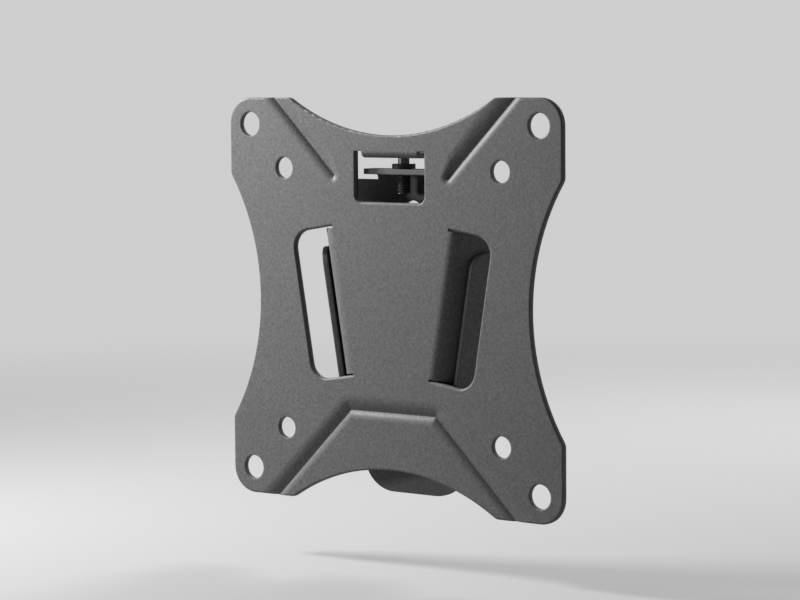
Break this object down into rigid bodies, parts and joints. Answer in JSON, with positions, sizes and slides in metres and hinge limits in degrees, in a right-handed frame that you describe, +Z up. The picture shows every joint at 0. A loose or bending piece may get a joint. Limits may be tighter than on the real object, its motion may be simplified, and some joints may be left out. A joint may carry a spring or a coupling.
{
  "type": "monitor wall mount",
  "caption": "Slim fixed wall mount for a small monitor: a pressed square plate with hollowed sides that hangs on a tapered wall plate by slanted flanges and is held down by a lock screw.",
  "frame": {"origin": "on the wall, behind the middle of the monitor hole patterns, on the wall plate's rear face", "axes": "+Y into the wall, -Y towards the monitor, +Z up, +X to the right seen from the monitor side"},
  "size_m": [0.115, 0.0125, 0.115],
  "materials": {
    "powder_coat": "fine-textured grey powder coat",
    "black_steel": "blackened steel, slightly oily",
    "black_plastic": "moulded black nylon"
  },
  "bodies": {
    "wall_side": {"wall_plate": "powder_coat"},
    "monitor_side": {"monitor_plate": "powder_coat"},
    "ring": {"retaining_ring": "black_plastic"},
    "screw": {"lock_screw": "black_steel"}
  },
  "joints": [
    {"name": "lift_off", "type": "slide", "parent": "wall_side", "child": "monitor_side", "axis": [0, 0, 1], "range_m": [0, 0.025]},
    {"name": "ring_rise", "type": "slide", "parent": "monitor_side", "child": "ring", "axis": [0, 0, 1], "range_m": [0, 0.0014]},
    {"name": "screw_turn", "type": "hinge", "parent": "ring", "child": "screw", "pos_m": [0, -0.0055, 0.0376], "axis": [0, 0, 1], "range_deg": [0, 720]}
  ],
  "couplings": [
    {"joint": "screw_turn", "follows": "ring_rise", "rad_per_m": 8976}
  ]
}
